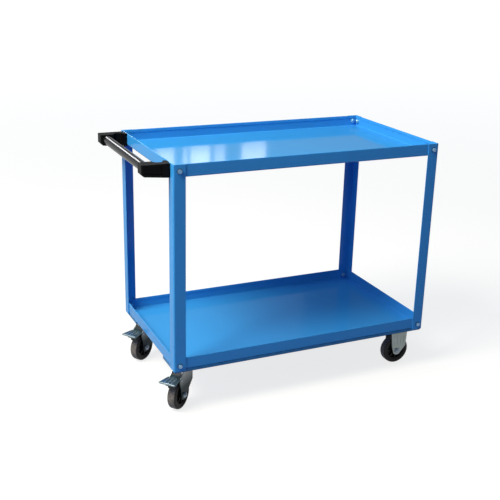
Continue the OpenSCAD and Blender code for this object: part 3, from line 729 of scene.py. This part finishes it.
# Bracket screws: four zinc-plated pan-head screws, driven outwards through the tray's
# end wall from inside.

SCREW_HEAD_HEIGHT = 3.3 * MM
SCREW_INSETS = (8 * MM, 33.5 * MM)
SCREW_STEPS = 32
SCREW_PROFILE = (
    (0, -11), (2.5, -11), (3, -10.5), (3, 0), (5.5, 0), (5.5, 1.32), (4.675, 2.64),
    (2.75, 3.3), (1.925, 3.3), (1.54, 2.1), (0, 2.1),
)

zinc_plate = finish(
    "zinc_plate", (0.46, 0.54, 0.62), tone_scale=40, darker=0.35, grain_scale=900,
    smooth=0.20, rough=0.40, depth=0.04 * MM, metal=0.8,
)

low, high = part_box("handle_screws")
middle_y = (low.y + high.y) / 2
bracket_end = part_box("handle_bracket_rear")[1].y
bm = bmesh.new()
for side in (-1, 1):
    for inset in SCREW_INSETS:
        y = middle_y + side * (bracket_end - inset - middle_y)
        seat = aimed((high.x - SCREW_HEAD_HEIGHT, y, (low.z + high.z) / 2), (1, 0, 0))
        turned(bm, in_metres(SCREW_PROFILE), seat, SCREW_STEPS)
mark_sharp(bm, CUT_CREASE)
stand_in(make_piece("bracket_screw_set", bm), "handle_screws", zinc_plate)

# Caster plates: four oblongs of 3.5 mm steel with rounded corners, each bolted up against
# a rail at four holes.

CORNERS = ("front_left", "rear_left", "front_right", "rear_right")
PRESSED_EDGE = 0.5 * MM

for corner in CORNERS:
    node = f"plate_{corner}"
    bm = soft_copy(node, PRESSED_EDGE)
    stand_in(make_piece(f"{node}_steel", bm), node, zinc_plate)

# Caster bolts: sixteen zinc-plated M8 bolts, put in from above the rails, with their nuts
# under the plates.

PLATE_BOLTS_X = 77 * MM
PLATE_BOLTS_Y = 56 * MM
UPSIDE_DOWN = Matrix.Rotation(math.pi, 4, "X")

head_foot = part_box("caster_bolts")[1].z - HEAD_HEIGHT
nut_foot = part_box("caster_nuts")[0].z
heads = bmesh.new()
nuts = bmesh.new()
for corner in CORNERS:
    low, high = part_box(f"plate_{corner}")
    for x in (-PLATE_BOLTS_X / 2, PLATE_BOLTS_X / 2):
        for y in (-PLATE_BOLTS_Y / 2, PLATE_BOLTS_Y / 2):
            upright = Matrix.Translation(((low.x + high.x) / 2 + x, (low.y + high.y) / 2 + y, 0))
            hexagon(heads, BOLT_WIDTH, HEAD_HEIGHT, upright @ raised(head_foot))
            turned(heads, [
                (0, nut_foot), (BOLT_RADIUS, nut_foot), (BOLT_RADIUS, head_foot), (0, head_foot)
            ], upright, BOLT_STEPS)
            downward = upright @ raised(nut_foot) @ UPSIDE_DOWN
            threaded_end(heads, BOLT_RADIUS, -THREAD_START, BOLT_END + THREAD_START, downward)
            hexagon(nuts, BOLT_WIDTH, NUT_HEIGHT, upright @ raised(nut_foot), (True, True))
for name, bm, node in (
    ("caster_bolt_set", heads, "caster_bolts"), ("caster_nut_set", nuts, "caster_nuts")
):
    mark_sharp(bm, TURNED_CREASE)
    stand_in(make_piece(name, bm), node, zinc_plate)

# Ball races: two pressed steel cups round a ring of balls, closed at the rim, between each
# swivel plate and its fork.

SWIVELS = ("front_left", "rear_left")
RACE_PROFILE = (
    (10, 0), (23.5, 0), (26.6, 1), (28.2, 2.6), (28.4, 3.7), (27.0, 3.8), (27.0, 4.2),
    (28.9, 4.3), (29, 5.2), (27.8, 7), (25, 8.2), (10, 8.2),
)
RACE_STEPS = 64
RACE_CREASE = math.radians(45)


def foot_of(node):
    """A matrix that moves the origin to the middle of a node's foot."""
    low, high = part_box(node)
    return Matrix.Translation(((low.x + high.x) / 2, (low.y + high.y) / 2, low.z))


for corner in SWIVELS:
    node = f"race_{corner}"
    bm = bmesh.new()
    turned(bm, in_metres(RACE_PROFILE), foot_of(node), RACE_STEPS)
    mark_sharp(bm, RACE_CREASE)
    stand_in(make_piece(f"{node}_cups", bm), node, zinc_plate)

# Kingpins: one thick steel rivet through each fork, race and plate, with its head under
# the fork's crown.

KINGPIN_RADIUS = 6 * MM
KINGPIN_HEAD = ((0, 0), (7.7, 0), (10.23, 1), (11, 2.5), (11, 5), (6, 5))

for corner in SWIVELS:
    node = f"kingpin_{corner}"
    low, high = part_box(node)
    length = high.z - low.z
    bm = bmesh.new()
    turned(bm, in_metres(KINGPIN_HEAD) + [
        (KINGPIN_RADIUS, length - CUT_EDGE), (KINGPIN_RADIUS - CUT_EDGE, length), (0, length)
    ], foot_of(node))
    mark_sharp(bm, CUT_CREASE)
    stand_in(make_piece(f"{node}_rivet", bm), node, zinc_plate)

# Forks: strips of 3 mm steel, bent down on both sides of the wheel and zinc-plated. The
# swivel forks turn on the races; their zinc is lighter than the fixed forks' above and
# darkened towards the bottom, as painted light and shade. The fixed ones, with pressed flutes,
# are welded to their plates.

FORK_HALF_WIDTH = 21.5 * MM
FLUTE_PLACES = (-27 * MM, -14 * MM, -1 * MM, 12 * MM)
FLUTE_WIDTH = 5 * MM
FLUTE_PROUD = 1.5 * MM
FLUTE_LOW = 24 * MM
FLUTE_HIGH = 78 * MM
FLUTE_EDGE = 0.75 * FLUTE_PROUD
FORK_SHADE_COLOR = (0.032, 0.050, 0.057)
FORK_SHADE_FROM = 132 * MM
FORK_SHADE_TO = 78 * MM
FORK_SHADE_SCALE = 120
FORK_SHADE_GAPS = 0.04

fork_zinc = finish(
    "fork_zinc", (0.46, 0.52, 0.52), tone_scale=35, darker=0.35, grain_scale=700,
    smooth=0.34, rough=0.52, depth=0.05 * MM, metal=0.9,
)
swivel_fork_painted_shade_zinc = finish(
    "swivel_fork_painted_shade_zinc", (0.56, 0.60, 0.60), tone_scale=25, darker=0.4, grain_scale=600,
    smooth=0.26, rough=0.44, depth=0.05 * MM, metal=0.9,
)

# A second colour that shows by a given amount, with gaps: painted light and shade, and wear
patchy_light_and_wear, given, result = shader_group(
    "patchy_light_and_wear",
    [("Place", VECTOR, None), ("Color", COLOR, MID_GREY), ("Light And Wear Color", COLOR, MID_GREY),
     ("Amount", FLOAT, 0.0), ("Scale", FLOAT, 100.0), ("Gaps", FLOAT, 0.3)],
    [("Color", COLOR)],
)
spots = add_node(patchy_light_and_wear, "TexNoise", {
    "Vector": given.outputs["Place"], "Scale": given.outputs["Scale"], "Detail": 3,
})
in_gaps = add_node(patchy_light_and_wear, "Math", {0: 1.0, 1: given.outputs["Gaps"]}, operation="SUBTRACT")
cover = add_node(patchy_light_and_wear, "MapRange", {
    "Value": spots.outputs["Fac"], "From Min": 0.4, "From Max": 0.6,
    "To Min": in_gaps.outputs[0],
})
covered = add_node(
    patchy_light_and_wear, "Math", {0: cover.outputs["Result"], 1: given.outputs["Amount"]},
    operation="MULTIPLY",
)
shown_over = add_node(
    patchy_light_and_wear, "Mix",
    {"Factor": covered.outputs[0], "A": given.outputs["Color"], "B": given.outputs["Light And Wear Color"]},
    data_type="RGBA",
)
fill(patchy_light_and_wear, result, {"Color": shown_over.outputs["Result"]})


def light_and_wear_through(material, color, scale, gaps, amount=None):
    """Lets another colour show by the given amount, or by the piece's own attribute for painted
    light and wear.
    """
    tree = material.node_tree
    drift = tree.nodes["drift"]
    if amount is None:
        amount = add_node(tree, "Attribute", attribute_name="light_and_wear").outputs["Fac"]
    patch = add_node(tree, "Group", {
        "Place": tree.nodes["place"].outputs["Object"],
        "Color": drift.inputs["Color"].default_value, "Light And Wear Color": (*color, 1),
        "Amount": amount, "Scale": scale, "Gaps": gaps,
    }, node_tree=patchy_light_and_wear)
    fill(tree, drift, {"Color": patch.outputs["Color"]})


# painted shade: the swivel forks' zinc turns dark towards the bottom, in patches
tree = swivel_fork_painted_shade_zinc.node_tree
height = add_node(tree, "SeparateXYZ", {0: tree.nodes["place"].outputs["Object"]})
fork_shade = add_node(tree, "MapRange", {
    "Value": height.outputs["Z"], "From Min": FORK_SHADE_FROM, "From Max": FORK_SHADE_TO,
})
light_and_wear_through(swivel_fork_painted_shade_zinc, FORK_SHADE_COLOR, FORK_SHADE_SCALE, FORK_SHADE_GAPS, fork_shade.outputs["Result"])

joints = {joint["name"]: joint for joint in frame["joints"]}


def caster_frame(corner):
    """A caster's axle: origin in the wheel's middle, Y from the bolt's head to its nut, Z up."""
    joint = joints[f"roll_{corner}"]
    along = Vector(joint["axis"]) * (1 if corner in SWIVELS else -1)
    up = Vector((0, 0, 1))
    trailing = along.cross(up)
    turn = Matrix((trailing, along, up)).transposed().to_4x4()
    return Matrix.Translation(joint["pos_m"]) @ turn


def fork_body(corner):
    return f"{corner}_fork" if corner in SWIVELS else "cart"


def add_bar(bm, size, matrix, edge=None):
    """A bar about the origin, with its edges rounded if asked, moved by the matrix."""
    verts = bmesh.ops.create_cube(bm, size=1)["verts"]
    bmesh.ops.scale(bm, verts=verts, vec=size)
    if edge:
        verts = connected(round_off(bm, edges_of(verts), edge, segments=2))
    bmesh.ops.transform(bm, matrix=matrix, verts=verts)


for corner in CORNERS:
    node = f"fork_{corner}"
    bm = soft_copy(node, PRESSED_EDGE)
    if corner not in SWIVELS:
        flute_size = (FLUTE_WIDTH, 2 * FLUTE_PROUD, FLUTE_HIGH - FLUTE_LOW)
        for side in (-1, 1):
            for x in FLUTE_PLACES:
                middle = (x, side * FORK_HALF_WIDTH, (FLUTE_LOW + FLUTE_HIGH) / 2)
                place = caster_frame(corner) @ Matrix.Translation(middle)
                add_bar(bm, flute_size, place, FLUTE_EDGE)
    look = swivel_fork_painted_shade_zinc if corner in SWIVELS else fork_zinc
    stand_in(make_piece(f"{node}_pressing", bm), node, look, fork_body(corner))

# Tyres: solid black rubber, moulded in two halves, so a fine seam runs round the tread.
# The tread is painted a patchy brownish grey, partly scuffing and partly painted sheen.

TYRE_HALF = (
    (37, -14.4), (37.5, -15), (39.2, -15), (39.5, -14.6), (40.4, -14.6), (40.7, -15), (43, -15),
)
SHOULDER_RADIUS = 6.85
SHOULDER_MIDDLE = (43, -8.15)
SHOULDER_STEPS = 8
SEAM = ((49.85, -0.5), (50, -0.2))
TYRE_STEPS = 96
TREAD_SHEEN_AND_SCUFF_COLOR = (0.29, 0.25, 0.232)
TREAD_SHEEN_AND_SCUFF_SCALE = 150
TREAD_SHEEN_AND_SCUFF_GAPS = 0.40
TREAD_SHEEN_AND_SCUFF_FROM = 48.0 * MM
TREAD_SHEEN_AND_SCUFF_TO = 49.8 * MM
ON_AXLE = Matrix.Rotation(-math.pi / 2, 4, "X")

tyre_rubber = finish(
    "tyre_rubber", (0.026, 0.022, 0.019), tone_scale=55, darker=0.35, grain_scale=800,
    smooth=0.36, rough=0.56, depth=0.12 * MM, specular=0.3,
)
# painted sheen with scuffing: the tread turns a patchy brownish grey
light_and_wear_through(tyre_rubber, TREAD_SHEEN_AND_SCUFF_COLOR, TREAD_SHEEN_AND_SCUFF_SCALE, TREAD_SHEEN_AND_SCUFF_GAPS)


def mark_light_and_wear(bm, measure, start, end):
    """Writes how much painted light and wear each point takes, from 0 at one measure to 1 at the
    other.
    """
    layer = bm.verts.layers.float.new("light_and_wear")
    for vert in bm.verts:
        vert[layer] = min(1.0, max(0.0, (measure(vert.co) - start) / (end - start)))


def both_halves(half):
    """A profile in metres from its lower half in millimetres."""
    return in_metres([*half, *((radius, -height) for radius, height in reversed(half))])


shoulder = []
for step in range(1, SHOULDER_STEPS + 1):
    turn = math.pi / 2 * step / SHOULDER_STEPS
    shoulder.append((
        SHOULDER_MIDDLE[0] + SHOULDER_RADIUS * math.sin(turn),
        SHOULDER_MIDDLE[1] - SHOULDER_RADIUS * math.cos(turn),
    ))
for corner in CORNERS:
    hub = Vector(joints[f"roll_{corner}"]["pos_m"])
    along = Vector(joints[f"roll_{corner}"]["axis"])
    bm = bmesh.new()
    profile = both_halves([*TYRE_HALF, *shoulder, *SEAM])
    turned(bm, profile, caster_frame(corner) @ ON_AXLE, TYRE_STEPS)
    mark_sharp(bm, TURNED_CREASE)
    mark_light_and_wear(bm, lambda place: (place - hub).cross(along).length, TREAD_SHEEN_AND_SCUFF_FROM, TREAD_SHEEN_AND_SCUFF_TO)
    piece = make_piece(f"tyre_{corner}_rubber", bm)
    stand_in(piece, f"tyre_{corner}", tyre_rubber, f"{corner}_wheel")

# Wheel cores: black nylon mouldings with a hub, a rim and eight ribs on each side of a
# thin disc.

CORE_HALF = (
    (7.1, -18), (11.8, -18), (13, -16.8), (13, -6.5), (15.5, -4), (29.5, -4), (32, -6.5),
    (32, -12.4), (32.6, -13), (36.4, -13), (37, -12.4),
)
CORE_STEPS = 72
RIBS = 8
RIB_THICK = 2.6 * MM
RIB_FROM = 12 * MM
RIB_TO = 33 * MM
RIB_LOW = 3.5 * MM
RIB_HIGH = 11.5 * MM

wheel_plastic = finish(
    "wheel_plastic", (0.008, 0.008, 0.009), tone_scale=30, darker=0.2, grain_scale=1200,
    smooth=0.26, rough=0.40, depth=0.08 * MM, specular=0.25,
)

for corner in CORNERS:
    bm = bmesh.new()
    turned(bm, both_halves(CORE_HALF), Matrix.Identity(4), CORE_STEPS)
    for side in (-1, 1):
        place = Matrix.Translation(((RIB_FROM + RIB_TO) / 2, 0, side * (RIB_LOW + RIB_HIGH) / 2))
        for number in range(RIBS):
            turn = Matrix.Rotation(FULL_TURN * number / RIBS, 4, "Z")
            add_bar(bm, (RIB_TO - RIB_FROM, RIB_THICK, RIB_HIGH - RIB_LOW), turn @ place)
    bmesh.ops.transform(bm, matrix=caster_frame(corner) @ ON_AXLE, verts=bm.verts)
    mark_sharp(bm, TURNED_CREASE)
    piece = make_piece(f"wheel_{corner}_core", bm)
    stand_in(piece, f"wheel_{corner}", wheel_plastic, f"{corner}_wheel")

# Axles: a steel sleeve that the wheel turns on, an M10 bolt through it with its head
# behind the fork, and a locking nut in front.

SLEEVE_HALF = 18.5 * MM
SLEEVE_RADIUS = 7 * MM
AXLE_RADIUS = 5 * MM
AXLE_FIT = 0.02 * MM
AXLE_WIDTH = 17 * MM
AXLE_HEAD = 6.4 * MM
AXLE_END = 2 * MM
COLLAR_RADIUS = 7.8 * MM
COLLAR_HEIGHT = 1.6 * MM
COLLAR_FIT = 0.1 * MM
COLLAR_CHAMFER = 0.8 * MM

for corner in CORNERS:
    on_axle = caster_frame(corner) @ ON_AXLE

    sleeve = bmesh.new()
    turned(sleeve, [
        (AXLE_RADIUS, -SLEEVE_HALF), (SLEEVE_RADIUS, -SLEEVE_HALF),
        (SLEEVE_RADIUS, SLEEVE_HALF), (AXLE_RADIUS, SLEEVE_HALF),
    ], on_axle)

    bolt = bmesh.new()
    hexagon(bolt, AXLE_WIDTH, AXLE_HEAD, on_axle @ raised(-FORK_HALF_WIDTH) @ UPSIDE_DOWN)
    shank = FORK_HALF_WIDTH + AXLE_HEAD
    turned(bolt, [
        (0, -FORK_HALF_WIDTH), (AXLE_RADIUS - AXLE_FIT, -FORK_HALF_WIDTH),
        (AXLE_RADIUS - AXLE_FIT, shank), (0, shank),
    ], on_axle)
    threaded_end(bolt, AXLE_RADIUS, shank - THREAD_START, AXLE_END + THREAD_START, on_axle)

    nut = bmesh.new()
    seat = on_axle @ raised(FORK_HALF_WIDTH)
    hexagon(nut, AXLE_WIDTH, AXLE_HEAD - COLLAR_HEIGHT, seat)
    collar_foot = AXLE_HEAD - COLLAR_HEIGHT - CUT_EDGE
    turned(nut, [
        (AXLE_RADIUS + COLLAR_FIT, collar_foot), (COLLAR_RADIUS, collar_foot),
        (COLLAR_RADIUS, AXLE_HEAD - COLLAR_CHAMFER), (COLLAR_RADIUS - COLLAR_CHAMFER, AXLE_HEAD),
        (AXLE_RADIUS + COLLAR_FIT, AXLE_HEAD),
    ], seat)

    for bm, node, kind in (
        (sleeve, f"sleeve_{corner}", "tube"), (bolt, f"axle_{corner}", "bolt"),
        (nut, f"axle_nut_{corner}", "lock"),
    ):
        mark_sharp(bm, TURNED_CREASE)
        piece = make_piece(f"{node}_{kind}", bm)
        stand_in(piece, node, zinc_plate, fork_body(corner))

# Brake pedals: steel pressings with a bent-up tip and three ribs, hung on a pin between
# the fork's legs. Their zinc is tinted blue as a painted reflection of the tray above, and
# the tops of the ribs and the tip carry a painted highlight.

LIP_HEIGHT = 4 * MM
PEDAL_HIGHLIGHT_FROM = 0.36 * MM
PEDAL_HIGHLIGHT_TO = 0.84 * MM
PEDAL_HIGHLIGHT_COLOR = (0.80, 0.90, 0.95)
PEDAL_HIGHLIGHT_SCALE = 300
PEDAL_HIGHLIGHT_GAPS = 0.15

# painted reflection: the zinc is tinted blue by the tray above
pedal_zinc_painted_light = finish(
    "pedal_zinc_painted_light", (0.22, 0.36, 0.45), tone_scale=60, darker=0.4, grain_scale=500,
    smooth=0.18, rough=0.36, depth=0.03 * MM, metal=0.85,
)
# painted highlight: the highest faces of the pressing turn bright
light_and_wear_through(pedal_zinc_painted_light, PEDAL_HIGHLIGHT_COLOR, PEDAL_HIGHLIGHT_SCALE, PEDAL_HIGHLIGHT_GAPS)

for corner in SWIVELS:
    node = f"pedal_{corner}"
    bm = soft_copy(node, PRESSED_EDGE)
    tread_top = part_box(node)[1].z - LIP_HEIGHT
    mark_light_and_wear(bm, lambda place: place.z, tread_top + PEDAL_HIGHLIGHT_FROM, tread_top + PEDAL_HIGHLIGHT_TO)
    piece = make_piece(f"{node}_pressing", bm)
    stand_in(piece, node, pedal_zinc_painted_light, f"{corner}_brake")

# Pedal pins: one long steel rivet through each fork and pedal, zinc-plated, with a domed
# head at both ends. The pedal turns on it.

PIN_HALF = ((0, -23.9), (2.4, -23.8), (4.2, -23.1), (5, -22), (5, -21.5), (3, -21.5))
PIN_FROM_AXLE = Vector((16, 0, 58)) * MM
PIN_STEPS = 32

for corner in SWIVELS:
    node = f"brake_pin_{corner}"
    seat = caster_frame(corner) @ Matrix.Translation(PIN_FROM_AXLE) @ ON_AXLE
    bm = bmesh.new()
    turned(bm, both_halves(PIN_HALF), seat, PIN_STEPS)
    mark_sharp(bm, CUT_CREASE)
    piece = make_piece(f"{node}_rivet", bm)
    stand_in(piece, node, zinc_plate, fork_body(corner))

# Brake shoes: black rubber blocks with a tongue, pushed on under the pedals, whose lower
# face is hollowed to the tyre.

SHOE_EDGE = 1 * MM

brake_rubber = finish(
    "brake_rubber", (0.014, 0.0135, 0.013), tone_scale=50, darker=0.3, grain_scale=1000,
    smooth=0.42, rough=0.60, depth=0.12 * MM,
)

for corner in SWIVELS:
    node = f"shoe_{corner}"
    piece = make_piece(f"{node}_block", soft_copy(node, SHOE_EDGE))
    stand_in(piece, node, brake_rubber, f"{corner}_brake")

low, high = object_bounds()
